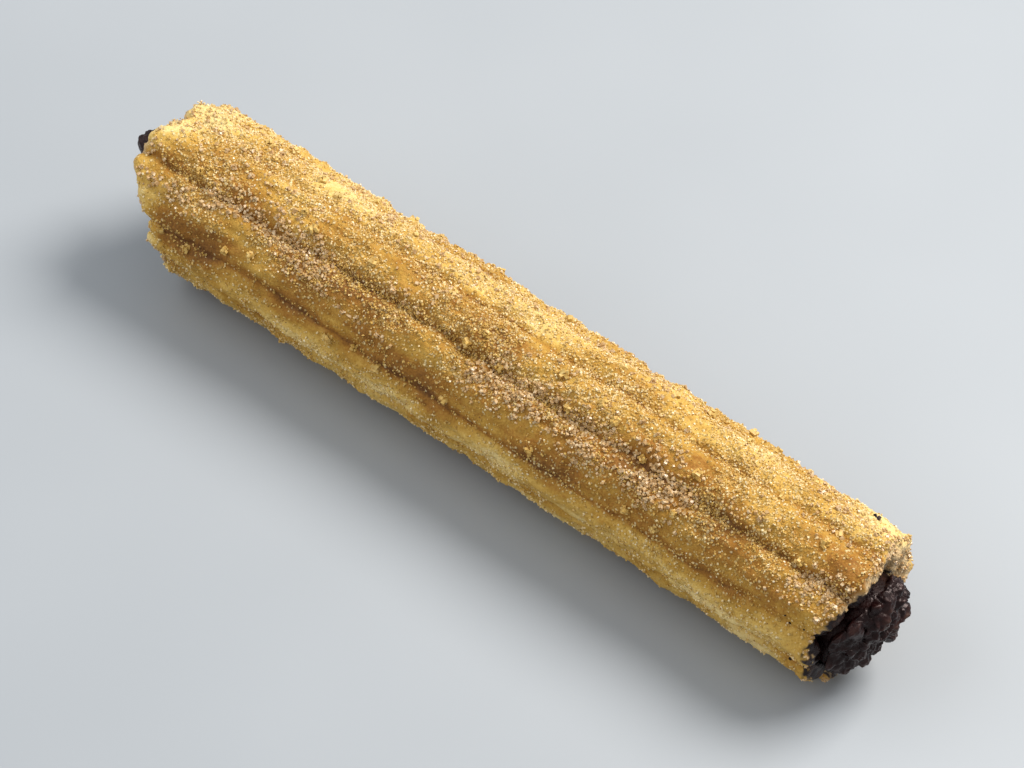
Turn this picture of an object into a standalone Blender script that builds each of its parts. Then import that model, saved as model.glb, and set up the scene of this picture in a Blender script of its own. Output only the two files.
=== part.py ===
"""A chocolate filled churro lying on its side, at life size.

The dough is a fried tube with ten ridges along it, its two ends torn a little uneven and its
crust strewn with coarse sugar. The chocolate filling runs right through the tube and stands
proud of both ends in a lumpy mound. Metres, +Z up. The churro lies along X with its fuller
chocolate end at +X, and the origin is the middle of its box, on the surface that it lies on.
Angles round the churro are counted from straight up towards +Y.
"""
import math
import random

import bmesh
import bpy
from mathutils import Euler, Matrix, Vector, noise

MM = 0.001

# Driving dimensions
DOUGH_LENGTH = 125.4 * MM
CREST_RADIUS = 12.75 * MM
BORE_RADIUS = 8.0 * MM
BORE_OFF_CENTRE = 1.5 * MM
BORE_OFF_TOWARDS = math.radians(-120)
FIT_GAP = 0.3 * MM
BOW = 0.5 * MM
PRESSED_FLAT = 0.5 * MM

# The ten grooves: where each one lies round the churro, and how deep it is
GROOVE_ANGLES = [math.radians(a) for a in (3, 38, 74, 111, 147, 182, 217, 251, 285, 327)]
GROOVE_DEPTHS = [d * MM for d in (1.0, 1.5, 1.7, 1.4, 1.7, 1.5, 1.6, 1.6, 1.1, 1.9)]
GROOVE_SWAY = math.radians(2.2)
SWAY_LENGTH = 32 * MM
SWAY_LANE = 7.31
DEPTH_LANES = 40
DEPTH_SWAY = 0.25
GROOVE_SHARPNESS = 2.0
GROOVE_CROWDING = 0.35

# Uneven crust: low swells along and across the ridges
CRUST_RELIEF = 0.45 * MM
CRUST_SWELL = 8.5 * MM
CRUST_ROUND = 5.0 * MM

# The torn ends. Each one leans towards an angle, is notched where a groove runs out, and has
# a tongue of crust that stands out further. The lip's section is given in shares of its
# rounding, set back from the end, and of the wall, from the crust inwards.
END_ZONE = 14 * MM
LIP_ROUNDING = 1.3 * MM
LIP_SECTION = ((0.4, 0.08), (0.0, 0.36), (0.1, 0.72))
MOUTH_SET_BACK = 0.5
FULL_END = {"side": 1, "out": 0.0, "lean": 0.5 * MM, "towards": math.radians(60),
            "tongue": 1.6 * MM, "tongue_angle": math.radians(-14), "notch": 0.7 * MM,
            "rag": 0.9 * MM, "seed": 3.7}
FAR_END = {"side": -1, "out": -2.3 * MM, "lean": 3.0 * MM, "towards": math.radians(35),
           "tongue": 4.2 * MM, "tongue_angle": math.radians(-34), "notch": 1.2 * MM,
           "rag": 0.9 * MM, "seed": 8.2}
TONGUE_WIDTH = math.radians(24)
RAG_SIZE = 4.5 * MM

# The filling's mounds, one for each end: how deep in the bore each one's centre lies, how far
# it stands out past the plain tube, and which way its face slopes and its middle leans
FULL_MOUND = {"depth": 2.2 * MM, "proud": 4.2 * MM, "slope": 0.2,
              "high_side": math.radians(40), "lean": 0.6 * MM, "lumps": 62, "seed": 11, "blob": None}
FAR_MOUND = {"depth": 7.0 * MM, "proud": -0.9 * MM, "slope": 0.75,
             "high_side": math.radians(12), "lean": 0.0, "lumps": 58, "seed": 23,
             "blob": {"out": 4.2 * MM, "off_axis": 5.7 * MM, "angle": math.radians(0),
                      "radius": 2.4 * MM}}
MOUND_LEANS_TOWARDS = math.radians(-90)
MOUND_SHOULDER = 3.2
MOUND_SPREAD = 0.9 * MM
MOUND_WIDEST = 10.0 * MM
LIP_CLEARANCE = 0.7 * MM
LUMP_RADIUS = (1.1 * MM, 2.3 * MM)
LUMP_SUNK = (0.35, 0.75)
LUMPS_TILT = math.radians(84)
LUMP_STRAY = 0.3
GOLDEN_ANGLE = math.pi * (3 - math.sqrt(5))

# Coarse sugar fused to the crust, and how high above the floor it begins
GRAINS = 60
GRAIN_SIZE = (0.85 * MM, 1.25 * MM)
GRAIN_SUNK = 0.12
GRAIN_SPACING = 3.2 * MM
GRAIN_END_MARGIN = 4 * MM
GRAIN_LOWEST = 14 * MM
GRAIN_SEED = 5

# How finely the faceted solids are cut
COLUMNS_PER_RIDGE = 8
CRUST_RINGS = 33
BORE_RINGS = 6
CORE_RINGS = 6
MOUND_COLUMNS = 46
MOUND_RINGS = 13
MERGE_DISTANCE = 0.01 * MM
SMOOTH_ANGLE = math.radians(50)

RIDGES = len(GROOVE_ANGLES)
HALF_LENGTH = DOUGH_LENGTH / 2
CORE_RADIUS = BORE_RADIUS - FIT_GAP


def clear_scene():
    for thing in list(bpy.data.objects):
        bpy.data.objects.remove(thing)


def new_collection(name):
    collection = bpy.data.collections.new(name)
    bpy.context.scene.collection.children.link(collection)
    return collection


def plain_material(name, colour, roughness):
    material = bpy.data.materials.new(name)
    material.use_nodes = True
    shader = material.node_tree.nodes["Principled BSDF"]
    shader.inputs["Base Color"].default_value = (*colour, 1.0)
    shader.inputs["Roughness"].default_value = roughness
    shader.inputs["Metallic"].default_value = 0.0
    return material


def round_the_axis(x, radius, angle):
    """The point at a length, radius and angle of the straight churro."""
    return Vector((x, radius * math.sin(angle), radius * math.cos(angle)))


def bore_point(x, radius, angle):
    """The same, round the bore's own axis, which lies off centre."""
    off_centre = round_the_axis(0, BORE_OFF_CENTRE, BORE_OFF_TOWARDS)
    return off_centre + round_the_axis(x, radius, angle)


def sway(x, lane):
    """A smooth wander between about -1 and 1 along the churro, one for each lane."""
    return 2 * noise.noise(Vector((x / SWAY_LENGTH, SWAY_LANE * lane, 0.5)))


def bowed(point):
    """The whole churro bends sideways by BOW at the middle of its length."""
    share = point.x / HALF_LENGTH
    return point + Vector((0, BOW * (1 - share * share), 0))


def groove_angle(groove, x):
    """Groove angles wander along the churro and count on past a full turn."""
    turns, index = divmod(groove, RIDGES)
    wander = GROOVE_SWAY * sway(x, index)
    return GROOVE_ANGLES[index] + wander + turns * math.tau


def groove_depth(groove, x):
    index = groove % RIDGES
    return GROOVE_DEPTHS[index] * (1 + DEPTH_SWAY * sway(x, DEPTH_LANES + index))


def ridge_place(turn_angle):
    """Which ridge a column of the even, turned tube belongs to, and where it lies on it."""
    place = (turn_angle % math.tau) / math.tau * RIDGES
    ridge = min(int(place + 1e-6), RIDGES - 1)
    return ridge, place - ridge


def ridge_angle(ridge, share, x):
    """The real angle of a column, crowded a little towards the grooves."""
    start = groove_angle(ridge, x)
    end = groove_angle(ridge + 1, x)
    crowded = share - GROOVE_CROWDING * math.sin(math.tau * share) / math.tau
    return start + (end - start) * crowded


def sunk_in_groove(ridge, share, x):
    """How far the crust lies below its crest: a rounded ridge between two sharp grooves."""
    groove = ridge if share < 0.5 else ridge + 1
    nearness = abs(1 - 2 * share)
    return groove_depth(groove, x) * nearness ** GROOVE_SHARPNESS


def crust_radius(ridge, share, x, angle):
    spot = round_the_axis(x / CRUST_SWELL, CREST_RADIUS / CRUST_ROUND, angle)
    return CREST_RADIUS - sunk_in_groove(ridge, share, x) + CRUST_RELIEF * noise.noise(spot)


def end_reach(end, angle, nearness):
    """How far an end's lip stands out past the plain tube, with a notch at each groove."""
    reach = end["out"] + end["lean"] * math.cos(angle - end["towards"])
    off_tongue = math.remainder(angle - end["tongue_angle"], math.tau) / TONGUE_WIDTH
    reach += end["tongue"] * math.exp(-off_tongue * off_tongue / 2)
    spot = round_the_axis(end["seed"], CREST_RADIUS / RAG_SIZE, angle)
    return reach + end["rag"] * noise.noise(spot) - end["notch"] * nearness ** 2


def shaped_wall(point):
    """Moves a point of the plain turned tube to its place in the ridged and torn one."""
    turn_angle = math.atan2(point.y, point.z)
    ridge, share = ridge_place(turn_angle)
    angle = ridge_angle(ridge, share, point.x)
    outer = crust_radius(ridge, share, point.x, angle)
    in_wall = (math.hypot(point.y, point.z) - BORE_RADIUS) / (CREST_RADIUS - BORE_RADIUS)
    end = FULL_END if point.x > 0 else FAR_END
    near_end = max(0.0, (abs(point.x) - HALF_LENGTH + END_ZONE) / END_ZONE)
    reach = end_reach(end, angle, abs(1 - 2 * share))
    x = point.x + end["side"] * reach * near_end ** 2
    inside = bore_point(x, BORE_RADIUS, angle)
    return bowed(inside.lerp(round_the_axis(x, outer, angle), in_wall))


def turned_mesh(name, profile, closed, columns):
    """The mesh of a profile of (x, radius) points, turned once about the X axis."""
    outline = bpy.data.meshes.new(name + "_outline")
    edges = [(i, i + 1) for i in range(len(profile) - 1)]
    if closed:
        edges.append((len(profile) - 1, 0))
    outline.from_pydata([(x, 0, radius) for x, radius in profile], edges, [])
    blank = bpy.data.objects.new(name + "_blank", outline)
    bpy.context.scene.collection.objects.link(blank)
    screw = blank.modifiers.new("turned", "SCREW")
    screw.axis = "X"
    screw.steps = columns
    screw.render_steps = columns
    screw.use_merge_vertices = True
    screw.merge_threshold = MERGE_DISTANCE
    mesh = evaluated_mesh(blank)
    bpy.data.objects.remove(blank)
    return mesh


def evaluated_mesh(thing):
    """A plain mesh of an object with its modifiers applied."""
    graph = bpy.context.evaluated_depsgraph_get()
    return bpy.data.meshes.new_from_object(thing.evaluated_get(graph))


def move_points(mesh, rule):
    for vertex in mesh.vertices:
        vertex.co = rule(vertex.co.copy())


def faces_outward(mesh):
    """Turns every face outwards and cuts the faces into triangles."""
    solid = bmesh.new()
    solid.from_mesh(mesh)
    bmesh.ops.recalc_face_normals(solid, faces=solid.faces)
    bmesh.ops.triangulate(solid, faces=solid.faces)
    solid.to_mesh(mesh)
    solid.free()


def spread_evenly(start, end, steps):
    return [start + (end - start) * i / steps for i in range(steps + 1)]


def wall_profile():
    """The tube's wall in section: the crust, a rounded lip, the bore and the other lip."""
    wall = CREST_RADIUS - BORE_RADIUS
    crust_end = HALF_LENGTH - LIP_ROUNDING
    lip = [(HALF_LENGTH - set_back * LIP_ROUNDING, CREST_RADIUS - inwards * wall)
           for set_back, inwards in LIP_SECTION]
    mouth = HALF_LENGTH - MOUTH_SET_BACK * LIP_ROUNDING
    crust = [(x, CREST_RADIUS) for x in spread_evenly(-crust_end, crust_end, CRUST_RINGS)]
    bore = [(x, BORE_RADIUS) for x in spread_evenly(mouth, -mouth, BORE_RINGS)]
    far_lip = [(-x, radius) for x, radius in reversed(lip)]
    return crust + lip + bore + far_lip


def ridged_tube():
    mesh = turned_mesh("dough", wall_profile(), True, RIDGES * COLUMNS_PER_RIDGE)
    move_points(mesh, shaped_wall)
    faces_outward(mesh)
    return mesh


def mound_place(end, mound):
    """Where a mound's centre lies along the bore, and its sheared outward direction."""
    sheared = mound["slope"] * round_the_axis(0, 1, mound["high_side"])
    return end["side"] * (HALF_LENGTH - mound["depth"]), Vector((end["side"], 0, 0)) - sheared


def mound_reach(mound, outward, direction):
    """Distance to a smooth round-shouldered mound, from its centre along a direction."""
    forward = max(direction.dot(outward), 0.0)
    sideways = math.hypot(direction.y, direction.z)
    height = mound["depth"] + mound["proud"]
    off_lean = math.atan2(direction.y, direction.z) - MOUND_LEANS_TOWARDS
    radius = CORE_RADIUS + MOUND_SPREAD + mound["lean"] * sideways * math.cos(off_lean)
    total = (forward / height) ** MOUND_SHOULDER + (sideways / radius) ** MOUND_SHOULDER
    return total ** (-1 / MOUND_SHOULDER)


def squeezed_blob(end, mound):
    """One larger blob of filling, squeezed out beside the tongue of crust."""
    blob = mound["blob"]
    out = end["side"] * (mound["depth"] + blob["out"])
    return round_the_axis(out, blob["off_axis"], blob["angle"]), blob["radius"]


def mound_lumps(end, mound, outward):
    """Spheres half sunk in the mound, spread evenly over it by the golden angle."""
    draw = random.Random(mound["seed"])
    lumps = []
    for i in range(mound["lumps"]):
        tilt = LUMPS_TILT * math.sqrt((i + draw.random()) / mound["lumps"])
        angle = i * GOLDEN_ANGLE + draw.uniform(-LUMP_STRAY, LUMP_STRAY)
        direction = round_the_axis(end["side"] * math.cos(tilt), math.sin(tilt), angle)
        radius = draw.uniform(*LUMP_RADIUS)
        sunk = draw.uniform(*LUMP_SUNK) * radius
        reach = mound_reach(mound, outward, direction)
        lumps.append(((reach - sunk) * direction, radius))
    if mound["blob"]:
        lumps.append(squeezed_blob(end, mound))
    return lumps


def lumpy_reach(smooth_reach, lumps, direction):
    """The furthest that the mound or one of its lumps reaches along a direction."""
    reach = smooth_reach
    for centre, radius in lumps:
        along = direction.dot(centre)
        inside = radius * radius - (centre.length_squared - along * along)
        if inside > 0 and along > 0:
            reach = max(reach, along + math.sqrt(inside))
    return reach


def clear_of_lip(end, point):
    """Keeps the filling inside the bore until it is past the lip, and then lets it spread."""
    angle = math.atan2(point.y, point.z)
    radius = math.hypot(point.y, point.z)
    placed = bore_point(point.x, radius, angle)
    crust_angle = math.atan2(placed.y, placed.z)
    lip = HALF_LENGTH + max(end_reach(end, a, 0.0) for a in (angle, crust_angle))
    free = min(max((end["side"] * point.x - lip) / LIP_CLEARANCE - 1, 0.0), 1.0)
    most = CORE_RADIUS + free * (MOUND_WIDEST - CORE_RADIUS)
    return point.x, min(radius, most), angle


def shaped_filling(point, mounds):
    """Moves a point of the plain round-ended core to its place in the lumpy filling."""
    place = (point.x, math.hypot(point.y, point.z), math.atan2(point.y, point.z))
    for end, mound, centre_x, outward, lumps in mounds:
        offset = point - Vector((centre_x, 0, 0))
        if end["side"] * offset.x > MERGE_DISTANCE:
            direction = offset.normalized()
            reach = lumpy_reach(mound_reach(mound, outward, direction), lumps, direction)
            place = clear_of_lip(end, point - offset + reach * direction)
    return bowed(bore_point(*place))


def filling_profile(far_x, full_x):
    """The core in section: a quarter circle round each mound's centre, and a straight run."""
    steps = spread_evenly(0, math.pi / 2, MOUND_RINGS)
    full = [(full_x + CORE_RADIUS * math.cos(a), CORE_RADIUS * math.sin(a)) for a in steps]
    core = [(x, CORE_RADIUS) for x in spread_evenly(full_x, far_x, CORE_RINGS)[1:-1]]
    far = [(far_x - CORE_RADIUS * math.cos(a), CORE_RADIUS * math.sin(a)) for a in steps]
    return full + core + far[::-1]


def lumpy_filling():
    mounds = []
    for end, mound in ((FAR_END, FAR_MOUND), (FULL_END, FULL_MOUND)):
        centre_x, outward = mound_place(end, mound)
        mounds.append((end, mound, centre_x, outward, mound_lumps(end, mound, outward)))
    profile = filling_profile(mounds[0][2], mounds[1][2])
    mesh = turned_mesh("filling", profile, False, MOUND_COLUMNS)
    move_points(mesh, lambda point: shaped_filling(point, mounds))
    faces_outward(mesh)
    return mesh


def crust_spot(draw):
    """A random spot on the crust, and the direction straight out of it."""
    reach = HALF_LENGTH - GRAIN_END_MARGIN
    x = draw.uniform(-reach, reach)
    ridge, share = ridge_place(draw.uniform(0, math.tau))
    angle = ridge_angle(ridge, share, x)
    radius = crust_radius(ridge, share, x, angle)
    return bowed(round_the_axis(x, radius, angle)), round_the_axis(0, 1, angle)


def sugar_grain(draw, spot, outward):
    """One crystal: a small cube, turned at random and a little sunk in the crust."""
    size = draw.uniform(*GRAIN_SIZE)
    turn = Euler([draw.uniform(0, math.pi) for _ in range(3)]).to_matrix().to_4x4()
    place = Matrix.Translation(spot - GRAIN_SUNK * size * outward)
    crystal = bmesh.new()
    bmesh.ops.create_cube(crystal, size=size, matrix=place @ turn)
    mesh = bpy.data.meshes.new("grain")
    crystal.to_mesh(mesh)
    crystal.free()
    return bpy.data.objects.new("grain", mesh)


def sugar_grains(floor):
    """A collection of sugar grains, set evenly over the upper side of the crust."""
    grains = new_collection("sugar_grains")
    draw = random.Random(GRAIN_SEED)
    spots = []
    while len(spots) < GRAINS:
        spot, outward = crust_spot(draw)
        crowded = any((spot - other).length < GRAIN_SPACING for other in spots)
        if crowded or spot.z < floor + GRAIN_LOWEST:
            continue
        spots.append(spot)
        grains.objects.link(sugar_grain(draw, spot, outward))
    return grains


def fused(mesh, grains):
    """The mesh with every object of a collection joined to it by one Boolean union."""
    host = bpy.data.objects.new("host", mesh)
    bpy.context.scene.collection.objects.link(host)
    union = host.modifiers.new("union", "BOOLEAN")
    union.operation = "UNION"
    union.operand_type = "COLLECTION"
    union.collection = grains
    joined = evaluated_mesh(host)
    for thing in (host, *grains.objects):
        bpy.data.objects.remove(thing)
    bpy.data.collections.remove(grains)
    return joined


def set_down(meshes, floor):
    """Presses the lowest ridges flat on z = 0 and centres the churro's box on the origin."""
    for mesh in meshes:
        move_points(mesh, lambda point: Vector((point.x, point.y, max(point.z - floor, 0))))
    points = [vertex.co for mesh in meshes for vertex in mesh.vertices]
    middle = Vector((0, 0, 0))
    for side in (0, 1):
        places = [point[side] for point in points]
        middle[side] = (min(places) + max(places)) / 2
    for mesh in meshes:
        move_points(mesh, lambda point: point - middle)


def add_part(name, mesh, material, collection):
    mesh.name = name
    mesh.materials.clear()
    mesh.materials.append(material)
    mesh.shade_smooth()
    mesh.set_sharp_from_angle(angle=SMOOTH_ANGLE)
    collection.objects.link(bpy.data.objects.new(name, mesh))


def main():
    clear_scene()
    churro = new_collection("chocolate_filled_churro")
    tube = ridged_tube()
    floor = min(vertex.co.z for vertex in tube.vertices) + PRESSED_FLAT
    dough = fused(tube, sugar_grains(floor))
    filling = lumpy_filling()
    set_down((dough, filling), floor)
    crust_brown = plain_material("fried_dough", (0.62, 0.39, 0.14), 0.75)
    chocolate = plain_material("chocolate", (0.022, 0.010, 0.009), 0.30)
    add_part("dough_shell", dough, crust_brown, churro)
    add_part("chocolate_filling", filling, chocolate, churro)


main()
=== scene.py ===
"""The looks of a chocolate filled churro, in metres, in the same frame as its solids.

The crust, the filling and the strewn sugar are modelled again at full detail from the same named
sizes as the solids that they stand for. The churro lies along X with its fuller chocolate end at
+X. Angles round the churro are counted from straight up towards +Y.
"""
import math
import random

import bpy
import numpy as np
from mathutils import Euler, Matrix, Vector, noise


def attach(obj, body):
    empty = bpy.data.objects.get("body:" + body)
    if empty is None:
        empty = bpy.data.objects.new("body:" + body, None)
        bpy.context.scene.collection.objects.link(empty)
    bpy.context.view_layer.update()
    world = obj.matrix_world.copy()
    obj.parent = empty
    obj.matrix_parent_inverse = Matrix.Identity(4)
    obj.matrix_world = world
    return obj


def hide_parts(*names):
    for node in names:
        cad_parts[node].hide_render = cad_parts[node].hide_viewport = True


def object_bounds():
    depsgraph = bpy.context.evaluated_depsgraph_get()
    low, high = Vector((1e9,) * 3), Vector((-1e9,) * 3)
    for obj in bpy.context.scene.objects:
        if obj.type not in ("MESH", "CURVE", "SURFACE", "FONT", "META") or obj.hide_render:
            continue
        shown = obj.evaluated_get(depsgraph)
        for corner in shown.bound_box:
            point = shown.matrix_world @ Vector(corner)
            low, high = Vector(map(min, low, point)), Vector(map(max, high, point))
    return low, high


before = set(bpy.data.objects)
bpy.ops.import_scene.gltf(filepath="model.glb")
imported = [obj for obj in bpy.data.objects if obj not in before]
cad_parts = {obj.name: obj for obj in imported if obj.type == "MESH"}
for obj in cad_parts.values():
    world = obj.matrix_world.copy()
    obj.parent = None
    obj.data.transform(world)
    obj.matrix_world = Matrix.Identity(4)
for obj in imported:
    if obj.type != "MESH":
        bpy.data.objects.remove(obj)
cad_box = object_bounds()

MM = 0.001

# The churro's own sizes, as in its solids
DOUGH_LENGTH = 125.4 * MM
CREST_RADIUS = 12.75 * MM
BORE_RADIUS = 8.0 * MM
BORE_OFF_CENTRE = 1.5 * MM
BORE_OFF_TOWARDS = math.radians(-120)
FIT_GAP = 0.3 * MM
BOW = 0.5 * MM
SET_DOWN = Vector((-0.3261, 0.2539, -12.1661)) * MM

GROOVE_ANGLES = [math.radians(a) for a in (3, 38, 74, 111, 147, 182, 217, 251, 285, 327)]
GROOVE_DEPTHS = [d * MM for d in (1.0, 1.5, 1.7, 1.4, 1.7, 1.5, 1.6, 1.6, 1.1, 1.9)]
GROOVE_SWAY = math.radians(2.2)
SWAY_LENGTH = 32 * MM
SWAY_LANE = 7.31
SWAY_SLICE = 0.5
SWAY_GAIN = 2
DEPTH_LANES = 40
DEPTH_SWAY = 0.25
GROOVE_SHARPNESS = 2.0
GROOVE_CROWDING = 0.35
WHOLE_RIDGE_SLACK = 1e-6

CRUST_RELIEF = 0.45 * MM
CRUST_SWELL = 8.5 * MM
CRUST_ROUND = 5.0 * MM

END_ZONE = 14 * MM
LIP_ROUNDING = 1.3 * MM
LIP_SECTION = ((0.4, 0.08), (0.0, 0.36), (0.1, 0.72))
MOUTH_SET_BACK = 0.5
FULL_END = {"side": 1, "out": 0.0, "lean": 0.5 * MM, "towards": math.radians(60),
            "tongue": 1.6 * MM, "tongue_angle": math.radians(-14), "notch": 0.7 * MM,
            "rag": 0.9 * MM, "seed": 3.7}
FAR_END = {"side": -1, "out": -2.3 * MM, "lean": 3.0 * MM, "towards": math.radians(35),
           "tongue": 4.2 * MM, "tongue_angle": math.radians(-34), "notch": 1.2 * MM,
           "rag": 0.9 * MM, "seed": 8.2}
TONGUE_WIDTH = math.radians(24)
RAG_SIZE = 4.5 * MM

FULL_MOUND = {"depth": 2.2 * MM, "proud": 4.2 * MM, "slope": 0.2,
              "high_side": math.radians(40), "lean": 0.6 * MM, "lumps": 62, "seed": 11,
              "blob": None}
FAR_MOUND = {"depth": 7.0 * MM, "proud": -0.9 * MM, "slope": 0.75,
             "high_side": math.radians(12), "lean": 0.0, "lumps": 58, "seed": 23,
             "blob": {"out": 4.2 * MM, "off_axis": 5.7 * MM, "angle": math.radians(0),
                      "radius": 2.4 * MM}}
MOUND_LEANS_TOWARDS = math.radians(-90)
MOUND_SHOULDER = 3.2
MOUND_SPREAD = 0.9 * MM
MOUND_WIDEST = 10.0 * MM
LIP_CLEARANCE = 0.7 * MM
LUMP_RADIUS = (1.1 * MM, 2.3 * MM)
LUMP_SUNK = (0.35, 0.75)
LUMPS_TILT = math.radians(84)
LUMP_STRAY = 0.3
GOLDEN_ANGLE = math.pi * (3 - math.sqrt(5))

GRAINS = 60
GRAIN_SIZE = (0.85 * MM, 1.25 * MM)
GRAIN_SUNK = 0.12
GRAIN_SPACING = 3.2 * MM
GRAIN_END_MARGIN = 4 * MM
GRAIN_LOWEST = 14 * MM
GRAIN_SEED = 5

RIDGES = len(GROOVE_ANGLES)
HALF_LENGTH = DOUGH_LENGTH / 2
CORE_RADIUS = BORE_RADIUS - FIT_GAP

# The crust's look round the churro: degrees from straight up, how brown it is there, how much of it
# fine sugar covers, and how much coarse sugar lies on it. The brownness mixes fried colour with
# painted light: painted shade darkens the lower flank from 279 to 298 degrees and the main groove
# at 327 with the flank above it, and the upper edge from 10 to 31 degrees is painted lighter where
# the light falls on it
LOOKS = [
    (-4, 0.58, 0.80, 0.05), (3, 0.57, 0.80, 0.05), (10, 0.36, 0.85, 0.10),
    (31, 0.24, 0.90, 0.10), (38, 0.52, 0.85, 0.10), (46, 0.30, 0.90, 0.10),
    (67, 0.32, 0.85, 0.10), (74, 0.55, 0.75, 0.10), (82, 0.40, 0.80, 0.15),
    (111, 0.62, 0.60, 0.20), (129, 0.48, 0.55, 0.15), (147, 0.62, 0.45, 0.0),
    (165, 0.42, 0.35, 0.0), (182, 0.55, 0.30, 0.0), (200, 0.35, 0.25, 0.0),
    (217, 0.45, 0.20, 0.0), (234, 0.22, 0.20, 0.0), (251, 0.38, 0.20, 0.0),
    (260, 0.20, 0.22, 0.0), (270, 0.26, 0.22, 0.0), (279, 0.58, 0.16, 0.0),
    (286, 0.80, 0.14, 0.0), (298, 0.76, 0.20, 0.0), (307, 0.67, 0.50, 0.30),
    (314, 0.74, 0.65, 0.85), (321, 0.80, 0.65, 0.90), (327, 0.92, 0.60, 0.50),
    (336, 0.78, 0.60, 0.30), (346, 0.74, 0.70, 0.12), (354, 0.66, 0.80, 0.05),
]
PATCH = {"length": 11 * MM, "width": 6 * MM, "offset": 0.0, "toast": 0.46}
STREAK = {"length": 15 * MM, "width": 1.2 * MM, "offset": 20.0, "toast": 0.16}
COVER = {"length": 7 * MM, "width": 4.5 * MM, "offset": 50.0, "sugar": 1.4}
DRIFTS = {"length": 10 * MM, "width": 6.5 * MM, "offset": 80.0, "middle": 0.5, "contrast": 3.2,
          "at_ends": 0.8, "full_end": 10 * MM, "far_end": 30 * MM}
PALE_TIP = {"length": 7 * MM, "toast": -0.60, "sugar": 0.3}
BROWN_BEHIND_TIP = {"length": 26 * MM, "toast": 0.26}
CLEANER_END = {"length": 26 * MM, "sugar": 0.65, "toast": -0.08}
FAR_HALF = {"length": 62 * MM, "towards": math.radians(35), "toast": -0.20}

# Fine relief on the crust
PEBBLE = {"size": 2.6 * MM, "height": 0.70 * MM}
KNOBS = {"size": 1.2 * MM, "height": 0.36 * MM, "offset": Vector((0, 4.7, 0))}
SMOOTHEST = 0.55
DRAWN = {"length": 14.0 * MM, "width": 1.3 * MM, "height": 0.20 * MM}
DRAWN_AT_FULL_END = {"length": 18.0 * MM, "width": 2.3 * MM, "offset": 35.0, "height": 0.42 * MM,
                     "reach": 30 * MM}
GROOVE_WOBBLE = math.radians(3.2)
WOBBLE_LENGTH = 3.0 * MM
WOBBLE_LANE = 5.7
WOBBLE_SLICE = 3.3
FLANK_WIDTH = 0.55
GROOVE_ROUNDING = 0.13
SANDY = {"size": 0.62 * MM, "height": 0.15 * MM, "offset": Vector((9.1, 0, 0))}
TORN = {"size": 1.3 * MM, "height": 0.7 * MM, "sunk": 0.2, "outermost": 0.93, "fade": 0.3}
LIP_REACH = 1.6 * LIP_ROUNDING
RELIEF_BIAS = -0.20 * MM

# How finely the pieces are cut
CRUST_COLUMNS = 30
CRUST_STEP = 0.44 * MM
LIP_STEPS = 4
BORE_STEPS = 14
MOUTH_RINGS = [d * MM for d in (0, 0.7, 1.5, 2.6)]

# How far the filling's dark smear covers each lip, as shares of the wall's thickness from the bore,
# with the lip darkened further out towards the side given
SMEARS = {"full": {"reach": 0.50, "more": 0.55, "towards": math.radians(-95)},
          "far": {"reach": 0.22, "more": 0.15, "towards": math.radians(-60)}}
SMEAR_FADE = 0.22
SMEAR_PATCHES = ({"size": 3.1 * MM, "reach": 0.40}, {"size": 0.9 * MM, "reach": 0.36})


# The shared form of the churro


def round_the_axis(x, radius, angle):
    return Vector((x, radius * math.sin(angle), radius * math.cos(angle)))


def bore_point(x, radius, angle):
    off_centre = round_the_axis(0, BORE_OFF_CENTRE, BORE_OFF_TOWARDS)
    return off_centre + round_the_axis(x, radius, angle)


def sway(x, lane):
    return SWAY_GAIN * noise.noise(Vector((x / SWAY_LENGTH, SWAY_LANE * lane, SWAY_SLICE)))


def placed(point):
    """Bends the straight churro by its bow and sets it down in its solids' box."""
    share = point.x / HALF_LENGTH
    return kept_in_box(point + Vector((0, BOW * (1 - share * share), 0)) - SET_DOWN)


def kept_in_box(point):
    return Vector(min(max(c, low), high) for low, c, high in zip(cad_box[0], point, cad_box[1]))


def in_box(points):
    """Whether points all lie in the solids' box."""
    return all(low <= c <= high for point in points
               for low, c, high in zip(cad_box[0], point, cad_box[1]))


def groove_angle(groove, x):
    turns, index = divmod(groove, RIDGES)
    return GROOVE_ANGLES[index] + GROOVE_SWAY * sway(x, index) + turns * math.tau


def groove_depth(groove, x):
    index = groove % RIDGES
    return GROOVE_DEPTHS[index] * (1 + DEPTH_SWAY * sway(x, DEPTH_LANES + index))


def ridge_place(turn_angle):
    place = (turn_angle % math.tau) / math.tau * RIDGES
    ridge = min(int(place + WHOLE_RIDGE_SLACK), RIDGES - 1)
    return ridge, place - ridge


def crowded_share(share):
    return share - GROOVE_CROWDING * math.sin(math.tau * share) / math.tau


def plain_ridge_angle(ridge, share, x):
    start = groove_angle(ridge, x)
    end = groove_angle(ridge + 1, x)
    return start + (end - start) * crowded_share(share)


def ridge_angle(ridge, share, x):
    return plain_ridge_angle(ridge, share, x) + groove_wobble(ridge, share, x)


def groove_wobble(ridge, share, x):
    """The crust near a groove wanders from side to side, so that no groove is a straight line."""
    near = smooth_step((abs(1 - 2 * share) - 1 + FLANK_WIDTH) / FLANK_WIDTH)
    groove = ridge if share < 0.5 else ridge + 1
    lane = Vector((x / WOBBLE_LENGTH, WOBBLE_LANE * (groove % RIDGES), WOBBLE_SLICE))
    return GROOVE_WOBBLE * near * noise.noise(lane)


def crust_radius(ridge, share, x, angle, rounding):
    """The ridged crust, its grooves filled and rounded at the bottom by a share of their width."""
    groove = ridge if share < 0.5 else ridge + 1
    off_groove = math.hypot(1 - abs(1 - 2 * share), rounding)
    sunk = groove_depth(groove, x) * max(1 - off_groove, 0.0) ** GROOVE_SHARPNESS
    spot = round_the_axis(x / CRUST_SWELL, CREST_RADIUS / CRUST_ROUND, angle)
    return CREST_RADIUS - sunk + CRUST_RELIEF * noise.noise(spot)


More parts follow.
